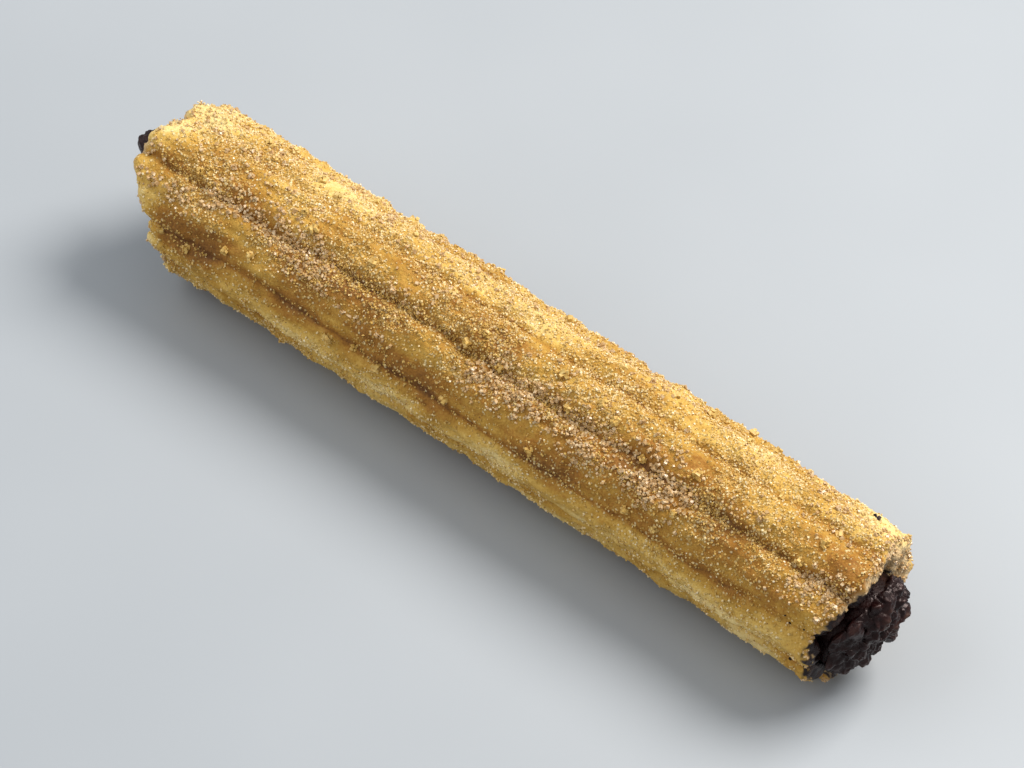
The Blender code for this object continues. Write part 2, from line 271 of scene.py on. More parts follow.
def end_reach(end, angle, nearness):
    reach = end["out"] + end["lean"] * math.cos(angle - end["towards"])
    off_tongue = math.remainder(angle - end["tongue_angle"], math.tau) / TONGUE_WIDTH
    reach += end["tongue"] * math.exp(-off_tongue * off_tongue / 2)
    spot = round_the_axis(end["seed"], CREST_RADIUS / RAG_SIZE, angle)
    return reach + end["rag"] * noise.noise(spot) - end["notch"] * nearness ** 2


def end_shift(x, angle, nearness):
    """How far a point of the straight wall moves along X to give the torn end its form."""
    end = FULL_END if x > 0 else FAR_END
    near_end = max(0.0, (abs(x) - HALF_LENGTH + END_ZONE) / END_ZONE)
    return end["side"] * end_reach(end, angle, nearness) * near_end ** 2


def clamped(value):
    return min(max(value, 0.0), 1.0)


def smooth_step(value):
    value = clamped(value)
    return value * value * (3 - 2 * value)


def look_between(degrees):
    """The brownness with its painted shade and light, and the sugar and coarse values at an angle,
    read smoothly between the listed looks.
    """
    start = LOOKS[0][0]
    degrees = (degrees - start) % 360 + start
    for here, there in zip(LOOKS, LOOKS[1:] + [(start + 360, *LOOKS[0][1:])]):
        if degrees <= there[0]:
            break
    t = smooth_step((degrees - here[0]) / (there[0] - here[0]))
    return [a + (b - a) * t for a, b in zip(here[1:], there[1:])]


def stretched_noise(x, angle, kind):
    across = CREST_RADIUS / kind["width"]
    return noise.noise(round_the_axis(x / kind["length"] + kind["offset"], across, angle))


def fine_relief(x, angle, roughness):
    """Pebbles, drawn lines along the churro and a sandy grain, in metres."""
    round_way = CREST_RADIUS * math.sin(angle), CREST_RADIUS * math.cos(angle)
    spot = Vector((x, *round_way))
    pebble = PEBBLE["height"] * noise.noise(spot / PEBBLE["size"])
    knobs = KNOBS["height"] * noise.noise(spot / KNOBS["size"] + KNOBS["offset"])
    drawn = noise.noise(Vector((x / DRAWN["length"], round_way[0] / DRAWN["width"],
                                round_way[1] / DRAWN["width"])))
    sandy = noise.noise(spot / SANDY["size"] + SANDY["offset"])
    rough = pebble + knobs + SANDY["height"] * sandy
    return RELIEF_BIAS + roughness * rough + DRAWN["height"] * drawn + end_lines(x, angle)


def end_lines(x, angle):
    """Broader lines that the nozzle drew, seen where the full end is cleaner of sugar."""
    near = smooth_step((x - HALF_LENGTH) / DRAWN_AT_FULL_END["reach"] + 1)
    return near * DRAWN_AT_FULL_END["height"] * stretched_noise(x, angle, DRAWN_AT_FULL_END)


def crust_look(ridge, share, x, angle):
    """How brown the crust is here, from frying and from painted shade and light, and how much fine
    and coarse sugar lies on it, 0 to 1.
    """
    start, end = GROOVE_ANGLES[ridge], GROOVE_ANGLES[(ridge + 1) % RIDGES]
    nominal = start + (end - start) % math.tau * crowded_share(share)
    toast, sugar, coarse = look_between(math.degrees(nominal))
    tip = smooth_step((-x - HALF_LENGTH) / PALE_TIP["length"] + 1)
    behind = smooth_step((-x - HALF_LENGTH) / BROWN_BEHIND_TIP["length"] + 1) * (1 - tip)
    clean = smooth_step((x - HALF_LENGTH) / CLEANER_END["length"] + 1) * (1 - coarse)
    toast += BROWN_BEHIND_TIP["toast"] * behind * (1 - sugar) + CLEANER_END["toast"] * clean
    far = smooth_step((-x - HALF_LENGTH) / FAR_HALF["length"] + 1)
    toast += FAR_HALF["toast"] * far * math.cos(angle - FAR_HALF["towards"])
    toast += PATCH["toast"] * stretched_noise(x, angle, PATCH)
    toast += STREAK["toast"] * stretched_noise(x, angle, STREAK)
    cover = 1 + COVER["sugar"] * stretched_noise(x, angle, COVER)
    sugar *= cover * (1 + (PALE_TIP["sugar"] - 1) * tip) * (1 + (CLEANER_END["sugar"] - 1) * clean)
    drift = DRIFTS["middle"] + DRIFTS["contrast"] * stretched_noise(x, angle, DRIFTS)
    end_length = DRIFTS["full_end" if x > 0 else "far_end"]
    drift += DRIFTS["at_ends"] * smooth_step((abs(x) - HALF_LENGTH) / end_length + 1)
    return clamped(toast + PALE_TIP["toast"] * tip), clamped(sugar), coarse * clamped(drift)


def roughness_under(sugar):
    return SMOOTHEST + (1 - SMOOTHEST) * sugar


def fine_radius(ridge, share, x, angle):
    sugar = crust_look(ridge, share, x, angle)[1]
    relief = fine_relief(x, angle, roughness_under(sugar))
    return crust_radius(ridge, share, x, angle, GROOVE_ROUNDING) + relief


# Making meshes


def new_piece(name, points, faces, smooth):
    mesh = bpy.data.meshes.new(name)
    mesh.from_pydata(points, [], faces)
    mesh.update()
    if smooth:
        mesh.shade_smooth()
    piece = bpy.data.objects.new(name, mesh)
    bpy.context.scene.collection.objects.link(piece)
    return piece


def add_values(piece, name, values):
    piece.data.attributes.new(name, "FLOAT", "POINT").data.foreach_set("value", values)


def ring_faces(rings, columns, closed):
    """Quads between neighbouring rings of points, all turned the same way."""
    faces = []
    for i in range(rings if closed else rings - 1):
        here, there = i * columns, (i + 1) % rings * columns
        for j in range(columns):
            k = (j + 1) % columns
            faces.append((here + j, here + k, there + k, there + j))
    return faces


def spread_evenly(start, end, steps):
    return [start + (end - start) * i / steps for i in range(steps + 1)]


def rounded(points, steps):
    """A smooth curve through points, with steps stretches between neighbours."""
    curve = []
    ends = [points[0], *points, points[-1]]
    for a, b, c, d in zip(ends, ends[1:], ends[2:], ends[3:]):
        for i in range(steps):
            t = i / steps
            curve.append(tuple(
                0.5 * (2 * q + (r - p) * t + (2 * p - 5 * q + 4 * r - s) * t * t
                       + (3 * q - p - 3 * r + s) * t * t * t)
                for p, q, r, s in zip(a, b, c, d)))
    return curve


def wall_profile():
    """The tube's wall in section, from the crust round one lip, the bore and the other lip."""
    wall = CREST_RADIUS - BORE_RADIUS
    flat_end = HALF_LENGTH - LIP_ROUNDING
    mouth = HALF_LENGTH - MOUTH_SET_BACK * LIP_ROUNDING
    bend = [(HALF_LENGTH - set_back * LIP_ROUNDING, CREST_RADIUS - inwards * wall)
            for set_back, inwards in LIP_SECTION]
    lip = rounded([(flat_end, CREST_RADIUS), *bend, (mouth, BORE_RADIUS)], LIP_STEPS)
    steps = round(2 * flat_end / CRUST_STEP)
    crust = [(x, CREST_RADIUS) for x in spread_evenly(-flat_end, flat_end, steps)[:-1]]
    near = [mouth - depth for depth in MOUTH_RINGS]
    deep = spread_evenly(near[-1], -near[-1], BORE_STEPS)[1:-1]
    bore = [(x, BORE_RADIUS) for x in near + deep + [-x for x in reversed(near)]]
    return crust + lip + bore + [(-x, radius) for x, radius in reversed(lip[1:])]


def smear_reach(x, radius, angle):
    """How far out over the lip the dark smear reaches, further towards one side, ending in large and
    small blots.
    """
    smear = SMEARS["full" if x > 0 else "far"]
    spot = round_the_axis(x, radius, angle)
    reach = smear["reach"] + smear["more"] * math.cos(angle - smear["towards"])
    blots = [patch["reach"] * noise.noise(spot / patch["size"]) for patch in SMEAR_PATCHES]
    return reach + sum(blots)


def wall_point(x0, radius, ridge, share):
    """A point of the fine wall, and what its material needs to know there, all 0 to 1."""
    angle = ridge_angle(ridge, share, x0)
    nearness = abs(1 - 2 * share)
    in_wall = (radius - BORE_RADIUS) / (CREST_RADIUS - BORE_RADIUS)
    x = x0 + end_shift(x0, angle, nearness)
    toast, sugar, coarse = crust_look(ridge, share, x0, angle)
    at_lip = smooth_step((abs(x0) - HALF_LENGTH + LIP_REACH) / LIP_ROUNDING)
    torn = at_lip * smooth_step((TORN["outermost"] - in_wall) / TORN["fade"])
    smeared = at_lip * smooth_step((smear_reach(x, radius, angle) - in_wall) / SMEAR_FADE)
    if radius <= BORE_RADIUS:
        smeared = max(smeared, smooth_step((HALF_LENGTH - abs(x0)) / LIP_ROUNDING - 1))
    relief = fine_relief(x0, angle, roughness_under(sugar))
    outer = crust_radius(ridge, share, x0, angle, GROOVE_ROUNDING) + relief
    inside = bore_point(x, BORE_RADIUS, angle)
    point = inside.lerp(round_the_axis(x, outer, angle), in_wall)
    if at_lip:
        rough = noise.noise(point / TORN["size"]) - TORN["sunk"]
        point.x += math.copysign(at_lip, x0) * TORN["height"] * rough
    return placed(point), {"toast": toast, "sugar": sugar, "coarse": coarse, "groove": nearness,
                           "torn": torn, "smeared": smeared}


def make_crust():
    profile = wall_profile()
    columns = RIDGES * CRUST_COLUMNS
    places = [ridge_place(math.tau * j / columns) for j in range(columns)]
    made = [wall_point(x, radius, *place) for x, radius in profile for place in places]
    points, looks = zip(*made)
    crust = new_piece("crust", points, ring_faces(len(profile), columns, True), True)
    for name in looks[0]:
        add_values(crust, name, [look[name] for look in looks])
    return crust


# The filling

MOUND_COLUMNS = 240
MOUND_RINGS = 84
CORE_RINGS = 8
POLE_TILT = 0.02
CRUMBS = ({"size": 2.1 * MM, "height": 0.75 * MM}, {"size": 0.95 * MM, "height": 0.38 * MM},
          {"size": 0.5 * MM, "height": 0.16 * MM})
CRUMB_WARP = 0.55
CRUMB_WARP_SCALE = 0.7
WANDER_OFFSETS = [Vector(offset) for offset in ((0, 0, 0), (17.3, 4.1, 9.7), (6.9, 23.5, 12.2))]
FILLING_GRAIN = 0.45 * MM
FILLING_ROUGH = 0.18 * MM
LUMPS_PROUD = 1.3 * MM
# How far the painted highlight on the filling's proud lumps may go at each end
LUMP_HIGHLIGHT_MOST = {1: 1.0, -1: 0.45}
FILLING_WARP = {"size": 1.5 * MM, "reach": 0.42 * MM}


def mound_place(end, mound):
    sheared = mound["slope"] * round_the_axis(0, 1, mound["high_side"])
    return end["side"] * (HALF_LENGTH - mound["depth"]), Vector((end["side"], 0, 0)) - sheared


def mound_reach(mound, outward, direction):
    forward = max(direction.dot(outward), 0.0)
    sideways = math.hypot(direction.y, direction.z)
    height = mound["depth"] + mound["proud"]
    off_lean = math.atan2(direction.y, direction.z) - MOUND_LEANS_TOWARDS
    radius = CORE_RADIUS + MOUND_SPREAD + mound["lean"] * sideways * math.cos(off_lean)
    total = (forward / height) ** MOUND_SHOULDER + (sideways / radius) ** MOUND_SHOULDER
    return total ** (-1 / MOUND_SHOULDER)


def squeezed_blob(end, mound):
    blob = mound["blob"]
    out = end["side"] * (mound["depth"] + blob["out"])
    return round_the_axis(out, blob["off_axis"], blob["angle"]), blob["radius"]


def strewn_lumps(end, mound, outward, draw, count, radii, depths):
    """Spheres half sunk in the mound, spread evenly over it by the golden angle."""
    lumps = []
    for i in range(count):
        tilt = LUMPS_TILT * math.sqrt((i + draw.random()) / count)
        angle = i * GOLDEN_ANGLE + draw.uniform(-LUMP_STRAY, LUMP_STRAY)
        direction = round_the_axis(end["side"] * math.cos(tilt), math.sin(tilt), angle)
        radius = draw.uniform(*radii)
        sunk = draw.uniform(*depths) * radius
        lumps.append(((mound_reach(mound, outward, direction) - sunk) * direction, radius))
    return lumps


def mound_lumps(end, mound, outward):
    draw = random.Random(mound["seed"])
    lumps = strewn_lumps(end, mound, outward, draw, mound["lumps"], LUMP_RADIUS, LUMP_SUNK)
    if mound["blob"]:
        lumps.append(squeezed_blob(end, mound))
    return lumps


def lumpy_reach(reach, centres, radii, direction):
    """The furthest that the mound or one of its lumps reaches along a direction."""
    along = centres @ np.array(direction)
    inside = radii * radii - ((centres * centres).sum(1) - along * along)
    hit = (inside > 0) & (along > 0)
    if not hit.any():
        return reach
    return max(reach, float((along[hit] + np.sqrt(inside[hit])).max()))


def clear_of_lip(end, point):
    """Keeps the filling inside the bore until it is past the lip, and then lets it spread."""
    angle = math.atan2(point.y, point.z)
    radius = math.hypot(point.y, point.z)
    spot = bore_point(point.x, radius, angle)
    crust_angle = math.atan2(spot.y, spot.z)
    lip = HALF_LENGTH + max(end_reach(end, a, 0.0) for a in (angle, crust_angle))
    free = clamped((end["side"] * point.x - lip) / LIP_CLEARANCE - 1)
    most = CORE_RADIUS + free * (MOUND_WIDEST - CORE_RADIUS)
    return point.x, min(radius, most), angle


def wander(spot):
    """Three noises that know nothing of each other, as a vector."""
    return Vector([noise.noise(spot + offset) for offset in WANDER_OFFSETS])


def crumbly(spot):
    """Uneven rounded crumbs of three sizes, packed side by side, in metres below the surface."""
    depth = 0.0
    for crumb in CRUMBS:
        at = spot / crumb["size"]
        at = at + CRUMB_WARP * wander(at * CRUMB_WARP_SCALE)
        nearest = noise.voronoi(at)[0][0]
        depth -= crumb["height"] * min(nearest * nearest, 1.0)
    return depth


def filling_rings(mounds):
    """Each ring's angle from its mound's axis, or its place on the straight core between."""
    far_x, full_x = mounds[0]["x"], mounds[1]["x"]
    tilts = spread_evenly(POLE_TILT, math.pi / 2, MOUND_RINGS)
    full = [(mounds[1], tilt) for tilt in tilts]
    core = [(None, x) for x in spread_evenly(full_x, far_x, CORE_RINGS)[1:-1]]
    return full + core + [(mounds[0], tilt) for tilt in reversed(tilts)]


def filling_point(mound, value, angle):
    """A point of the fine filling, and how far it stands proud of the hollows, 0 to 1, which the
    material paints lighter as a highlight.
    """
    if mound is None:
        return placed(bore_point(value, CORE_RADIUS, angle)), 0.0
    side = mound["end"]["side"]
    direction = round_the_axis(side * math.cos(value), math.sin(value), angle)
    plain_reach = mound_reach(mound["mound"], mound["outward"], direction)
    reach = lumpy_reach(plain_reach, mound["centres"], mound["radii"], direction)
    spot = reach * direction + Vector((mound["x"], 0, 0))
    crumbs = crumbly(spot)
    proud = (reach - plain_reach + crumbs) / LUMPS_PROUD
    warp = FILLING_WARP["reach"] * wander(spot / FILLING_WARP["size"])
    spot += (FILLING_ROUGH * noise.noise(spot / FILLING_GRAIN) + crumbs) * direction + warp
    place = placed(bore_point(*clear_of_lip(mound["end"], spot)))
    return place, min(clamped(proud), LUMP_HIGHLIGHT_MOST[side])


def prepared_mound(end, mound):
    centre_x, outward = mound_place(end, mound)
    lumps = mound_lumps(end, mound, outward)
    return {"end": end, "mound": mound, "x": centre_x, "outward": outward,
            "centres": np.array([centre for centre, _ in lumps]),
            "radii": np.array([radius for _, radius in lumps])}


def make_filling():
    mounds = [prepared_mound(FAR_END, FAR_MOUND), prepared_mound(FULL_END, FULL_MOUND)]
    rings = filling_rings(mounds)
    angles = [math.tau * j / MOUND_COLUMNS for j in range(MOUND_COLUMNS)]
    points, proud = zip(*(filling_point(*ring, angle) for ring in rings for angle in angles))
    faces = ring_faces(len(rings), MOUND_COLUMNS, False)
    last = (len(rings) - 1) * MOUND_COLUMNS
    faces.append(tuple(reversed(range(MOUND_COLUMNS))))
    faces.append(tuple(range(last, last + MOUND_COLUMNS)))
    filling = new_piece("filling", points, faces, True)
    add_values(filling, "proud", proud)
    return filling


# Sugar

CUBE = [(x, y, z) for x in (-0.5, 0.5) for y in (-0.5, 0.5) for z in (-0.5, 0.5)]
CUBE_FACES = [(0, 1, 3, 2), (4, 6, 7, 5), (0, 4, 5, 1), (2, 3, 7, 6), (0, 2, 6, 4), (1, 5, 7, 3)]
CUBE_SHAPE = CUBE, CUBE_FACES
GEM_REACH = 0.62
GEM = [(GEM_REACH, 0, 0), (0, GEM_REACH, 0), (-GEM_REACH, 0, 0), (0, -GEM_REACH, 0),
       (0, 0, GEM_REACH), (0, 0, -GEM_REACH)]
GEM_FACES = [(i, (i + 1) % 4, 4) for i in range(4)] + [((i + 1) % 4, i, 5) for i in range(4)]
GEM_SHAPE = GEM, GEM_FACES

PALE_SUGAR = {"count": 24500, "size": (0.17 * MM, 0.42 * MM), "seed": 101, "on_pale": 1.0,
              "on_brown": 0.1}
AMBER_SUGAR = {"count": 24500, "size": (0.17 * MM, 0.42 * MM), "seed": 102, "on_pale": 0.1,
               "on_brown": 1.0}
CINNAMON = {"count": 4000, "size": (0.12 * MM, 0.26 * MM), "seed": 103, "on_pale": 1.0,
            "on_brown": 1.0}
SUGAR_CLUMPS = {"count": 175, "size": (0.40 * MM, 0.80 * MM), "seed": 104}
LOOSE_SUGAR = {"count": 2700, "size": (0.24 * MM, 0.50 * MM), "seed": 107}
RIM_SUGAR = {"count": 1100, "size": (0.20 * MM, 0.42 * MM), "seed": 105, "at_full_end": 0.7,
             "cleanest": 0.25}
SUGAR_MARGIN = 0.5 * LIP_ROUNDING

# The form of one crystal and of a clump, and how far out of the crust they stand, in their own size
CRYSTAL_STRETCH = (0.7, 1.25)
CORNER_STRAY = (0.85, 1.1)
CLUMP_PART = 0.52
CLUMP_SPREAD = 0.25
FINE_PROUD = (-0.1, 0.3)
LOOSE_PROUD = 0.2
CLUMP_PROUD = 0.1

# Bits of the filling on the crust beside the full end, and the one on the edge of its upper side
FILLING_CRUMBS = {"count": 14, "size": (0.20 * MM, 0.50 * MM), "seed": 106,
                  "nearest": 1.8 * MM, "within": 5 * MM}
EDGE_CRUMB = {"from_end": 5.0 * MM, "angle": math.radians(40), "size": 1.1 * MM}


def random_turn(draw):
    return Euler([draw.uniform(0, math.tau) for _ in range(3)]).to_matrix()


def crystal(draw, spot, size, shape):
    """The corners of one uneven crystal."""
    turn = random_turn(draw)
    lengths = [size * draw.uniform(*CRYSTAL_STRETCH) for _ in range(3)]
    corners = [[c * s * draw.uniform(*CORNER_STRAY) for c, s in zip(corner, lengths)]
               for corner in shape[0]]
    return [spot + turn @ Vector(corner) for corner in corners]


def clump(draw, centre, turn, size):
    """A lump of sugar in the form of a turned cube, as eight crystals stuck together."""
    crystals = []
    for corner in CUBE:
        middle = centre + turn @ Vector([2 * CLUMP_SPREAD * size * c for c in corner])
        crystals.append(crystal(draw, middle, CLUMP_PART * size, CUBE_SHAPE))
    return crystals


def crystals_piece(name, crystals, shape):
    """One piece of all the crystals that lie in the solids' box."""
    inside = [corners for corners in crystals if in_box(corners)]
    points = [corner for corners in inside for corner in corners]
    step = len(shape[0])
    faces = [tuple(step * i + c for c in face) for i in range(len(inside)) for face in shape[1]]
    return new_piece(name, points, faces, False)


def coarse_chance(looks):
    return looks[2]


def fine_chance(kind):
    """How likely one kind of fine sugar is to lie at a spot, by how brown it is, painted shade
    included, and how sugared it is.
    """
    def chance(looks):
        toast, sugar, _ = looks
        return sugar * (kind["on_pale"] + (kind["on_brown"] - kind["on_pale"]) * toast)
    return chance


def crust_spot(draw, chance):
    """A spot on the fine crust that the sugar falls on, and the way straight out of it."""
    reach = HALF_LENGTH - SUGAR_MARGIN
    while True:
        x = draw.uniform(-reach, reach)
        ridge, share = ridge_place(draw.uniform(0, math.tau))
        angle = ridge_angle(ridge, share, x)
        if draw.random() < chance(crust_look(ridge, share, x, angle)):
            return spot_on_crust(x, ridge, share, angle), round_the_axis(0, 1, angle)


def spot_on_crust(x, ridge, share, angle):
    radius = fine_radius(ridge, share, x, angle)
    return placed(round_the_axis(x + end_shift(x, angle, abs(1 - 2 * share)), radius, angle))


def strewn(name, kind):
    draw = random.Random(kind["seed"])
    crystals = []
    for _ in range(kind["count"]):
        spot, outward = crust_spot(draw, fine_chance(kind))
        size = draw.uniform(*kind["size"])
        spot += outward * size * draw.uniform(*FINE_PROUD)
        crystals.append(crystal(draw, spot, size, GEM_SHAPE))
    return crystals_piece(name, crystals, GEM_SHAPE)


def sugar_clumps():
    draw = random.Random(SUGAR_CLUMPS["seed"])
    crystals = []
    for _ in range(SUGAR_CLUMPS["count"]):
        spot, outward = crust_spot(draw, coarse_chance)
        size = draw.uniform(*SUGAR_CLUMPS["size"])
        crystals += clump(draw, spot + CLUMP_PROUD * size * outward, random_turn(draw), size)
    return crystals


def loose_sugar():
    draw = random.Random(LOOSE_SUGAR["seed"])
    crystals = []
    for _ in range(LOOSE_SUGAR["count"]):
        spot, outward = crust_spot(draw, coarse_chance)
        size = draw.uniform(*LOOSE_SUGAR["size"])
        crystals.append(crystal(draw, spot + LOOSE_PROUD * size * outward, size, CUBE_SHAPE))
    return crystals


def rim_sugar():
    """Fine sugar stuck to both torn lips."""
    draw = random.Random(RIM_SUGAR["seed"])
    lip = [place for place in wall_profile() if place[0] > HALF_LENGTH - LIP_ROUNDING
           and place[1] > BORE_RADIUS]
    crystals = []
    for _ in range(RIM_SUGAR["count"]):
        side = 1 if draw.random() < RIM_SUGAR["at_full_end"] else -1
        x, radius = draw.choice(lip)
        spot, looks = wall_point(side * x, radius, *ridge_place(draw.uniform(0, math.tau)))
        grain = crystal(draw, spot, draw.uniform(*RIM_SUGAR["size"]), CUBE_SHAPE)
        if looks["smeared"] < RIM_SUGAR["cleanest"]:
            crystals.append(grain)
    return crystals


def fused_grains():
    """The large grains that are fused to the solid crust, as lumps of sugar of the same form."""
    draw = random.Random(GRAIN_SEED)
    shape_draw = random.Random(GRAIN_SEED + 1)
    spots, crystals, toasts_and_shade = [], [], []
    reach = HALF_LENGTH - GRAIN_END_MARGIN
    lowest = SET_DOWN.z + GRAIN_LOWEST
    while len(spots) < GRAINS:
        x = draw.uniform(-reach, reach)
        ridge, share = ridge_place(draw.uniform(0, math.tau))
        angle = plain_ridge_angle(ridge, share, x)
        spot = round_the_axis(x, crust_radius(ridge, share, x, angle, 0.0), angle)
        spot.y += BOW * (1 - (x / HALF_LENGTH) ** 2)
        crowded = any((spot - other).length < GRAIN_SPACING for other in spots)
        if crowded or spot.z < lowest:
            continue
        spots.append(spot)
        size = draw.uniform(*GRAIN_SIZE)
        turn = Euler([draw.uniform(0, math.pi) for _ in range(3)]).to_matrix()
        centre = spot - SET_DOWN - GRAIN_SUNK * size * round_the_axis(0, 1, angle)
        lump = clump(shape_draw, centre, turn, size)
        made = [[kept_in_box(corner) for corner in corners] for corners in lump]
        crystals += made
        # Each lump takes the brownness of the crust under it, painted shade included
        toasts_and_shade += [crust_look(ridge, share, x, angle)[0]] * sum(map(len, made))
    lumps = crystals_piece("sugar_lumps", crystals, CUBE_SHAPE)
    add_values(lumps, "toast", toasts_and_shade)
    return lumps


def coarse_sugar():
    return crystals_piece("sugar_coarse", loose_sugar() + sugar_clumps() + rim_sugar(), CUBE_SHAPE)


def filling_crumbs():
    """Small bits of the filling that lie on the crust beside the full end."""
    draw = random.Random(FILLING_CRUMBS["seed"])
    places = [(HALF_LENGTH - EDGE_CRUMB["from_end"], EDGE_CRUMB["angle"], EDGE_CRUMB["size"])]
    for _ in range(FILLING_CRUMBS["count"]):
        x = HALF_LENGTH - FILLING_CRUMBS["nearest"] - FILLING_CRUMBS["within"] * draw.random() ** 2
        places.append((x, draw.uniform(0, math.tau), draw.uniform(*FILLING_CRUMBS["size"])))
    crystals = []
    for x, turn_angle, size in places:
        ridge, share = ridge_place(turn_angle)
        angle = ridge_angle(ridge, share, x)
        spot = spot_on_crust(x, ridge, share, angle)
        crystals += clump(draw, spot, random_turn(draw), size)
    return crystals_piece("filling_crumbs", crystals, CUBE_SHAPE)


# Materials

CRUST_COLOURS = [
    (0.00, (0.82, 0.61, 0.25)),
    (0.22, (0.66, 0.415, 0.095)),
    (0.45, (0.485, 0.262, 0.039)),
    (0.70, (0.33, 0.138, 0.016)),
    (1.00, (0.13, 0.048, 0.009)),
]
CRUMB_COLOURS = [(0.3, (0.42, 0.25, 0.10)), (0.55, (0.64, 0.45, 0.23)), (0.8, (0.82, 0.66, 0.44))]
SMEAR_COLOURS = [(0.35, (0.0060, 0.0016, 0.0016)), (0.52, (0.0150, 0.0055, 0.0045)),
                 (0.70, (0.0480, 0.0250, 0.0180))]
FILLING_COLOURS = [(0.32, (0.0045, 0.0008, 0.0010)), (0.50, (0.0130, 0.0034, 0.0032)),
                   (0.66, (0.0290, 0.0110, 0.0085)), (0.84, (0.0600, 0.0320, 0.0220))]
PALE_COLOURS = [(0.34, (0.67, 0.46, 0.15)), (0.54, (0.79, 0.60, 0.28)),
                (0.74, (0.92, 0.78, 0.52))]
AMBER_COLOURS = [(0.3, (0.44, 0.235, 0.040)), (0.5, (0.58, 0.35, 0.078)),
                 (0.7, (0.71, 0.47, 0.13))]
LUMP_COLOURS = [(0.3, (0.56, 0.36, 0.09)), (0.5, (0.68, 0.47, 0.15)), (0.7, (0.78, 0.58, 0.24))]
CINNAMON_COLOURS = [(0.3, (0.22, 0.10, 0.020)), (0.7, (0.38, 0.19, 0.045))]
COARSE_COLOURS = [(0.2, (0.50, 0.28, 0.10)), (0.5, (0.66, 0.41, 0.17)), (0.8, (0.92, 0.74, 0.48))]
FINE_SUGAR_COLOURS = [(0.2, (0.50, 0.30, 0.07)), (0.6, (0.68, 0.47, 0.17)),
                      (0.9, (0.84, 0.68, 0.38))]
FLOOR_COLOURS = [(0.3, (0.345, 0.365, 0.385)), (0.7, (0.365, 0.385, 0.405))]

# How wide the patches of each tint are, how detailed they are and how rough
CRUST_PATCHES = (5 * MM, 3.0, 0.5)
CRUST_MOTTLE = (1.4 * MM, 3.0, 0.6)
CRUST_GRAIN = (0.35 * MM, 2.0, 0.6)
SUGAR_TINT = (0.55 * MM, 1.0, 0.5)
SUGAR_FROST = (0.2 * MM, 1.0, 0.5)
FILLING_STREAKS = (1.3 * MM, 3.0, 0.6)
FILLING_SPECKS = (0.35 * MM, 2.0, 0.5)
FLOOR_TINT = (60 * MM, 2.0, 0.5)

# How much each thing browns the crust, and how much and how sharply the bottoms of the grooves are
# darkened, partly by cinnamon caught there and partly as painted shade
BROWNING_AND_SHADE = {"toast": 0.80, "patches": 0.35, "mottle": 0.40, "grain": 0.30, "grooves": 0.20,
            "groove_shade_power": 5.0, "less": 0.50}

# Sugar tinted on the crust between the modelled crystals
FLAT_SUGAR = {"size": 0.42 * MM, "share": 0.8, "radius": 0.68, "edge": 3.5, "strength": 0.62}
SMEAR_EVENNESS = 0.8

# Relief too fine to model, and how rough and how shiny each surface is
CRUST_BUMP = {"mottle": 0.8, "sugar": 0.9, "strength": 0.7, "distance": 0.25 * MM}
FILLING_BUMP = {"strength": 0.5, "distance": 0.15 * MM}
DRY_ROUGHNESS = [(0.3, 0.50), (0.7, 0.78)]
SMEAR_ROUGHNESS = 0.30
FILLING_ROUGHNESS = [(0.35, 0.22), (0.65, 0.50)]
# The filling's tone: its own streaks, and a painted highlight on the proud lumps over hollows left
# dark as painted shade
FILLING_TONE_AND_HIGHLIGHT = {"streaks": 0.7, "proud": 0.45}
FROST_RANGE = 0.25
LUMP_ROUGHNESS = [(0.3, 0.35), (0.7, 0.65)]
# How strongly the crust's brownness, painted shade included, tints the sugar lumps
LUMP_BROWNING_AND_SHADE = {"toast": 1.6, "less": 0.3}
CRUST_SPECULAR = 0.25
FILLING_SPECULAR = 0.26
FILLING_SPECULAR_TINT = (1.0, 0.80, 0.76, 1.0)
SUGAR_IOR = 1.54
SUGAR_FINISHES = {
    "sugar_pale": {"colours": PALE_COLOURS, "roughness": 0.20, "clear": 0.0},
    "sugar_amber": {"colours": AMBER_COLOURS, "roughness": 0.28, "clear": 0.0},
    "sugar_coarse": {"colours": COARSE_COLOURS, "roughness": 0.15, "clear": 0.2},
    "cinnamon": {"colours": CINNAMON_COLOURS, "roughness": 0.6, "clear": 0.0},
}
FLOOR_ROUGHNESS = 0.45


def material(name):
    made = bpy.data.materials.new(name)
    made.use_nodes = True
    tree = made.node_tree
    return made, tree, tree.nodes["Principled BSDF"]


def node(tree, kind, **values):
    made = tree.nodes.new(kind)
    for key, value in values.items():
        if key in made.inputs:
            made.inputs[key].default_value = value
        else:
            setattr(made, key, value)
    return made


def noise_node(tree, size, detail, roughness):
    """A noise whose patches are about size across, fixed to the piece."""
    where = node(tree, "ShaderNodeTexCoord")
    made = node(tree, "ShaderNodeTexNoise", Scale=1 / size, Detail=detail, Roughness=roughness)
    tree.links.new(where.outputs["Object"], made.inputs["Vector"])
    return made.outputs["Fac"]


def grain_node(tree, size):
    """Grains about size across, side by side: how far from a grain's middle, its chance and tint."""
    where = node(tree, "ShaderNodeTexCoord")
    made = node(tree, "ShaderNodeTexVoronoi", Scale=1 / size)
    tree.links.new(where.outputs["Object"], made.inputs["Vector"])
    tints = node(tree, "ShaderNodeSeparateColor")
    tree.links.new(made.outputs["Color"], tints.inputs[0])
    return made.outputs["Distance"], tints.outputs[0], tints.outputs[1]


def value_of(tree, name):
    return node(tree, "ShaderNodeAttribute", attribute_name=name).outputs["Fac"]


def maths(tree, operation, a, b, clamp=False):
    made = node(tree, "ShaderNodeMath", operation=operation, use_clamp=clamp)
    for socket, value in zip(made.inputs, (a, b)):
        if isinstance(value, (int, float)):
            socket.default_value = value
        else:
            tree.links.new(value, socket)
    return made.outputs[0]


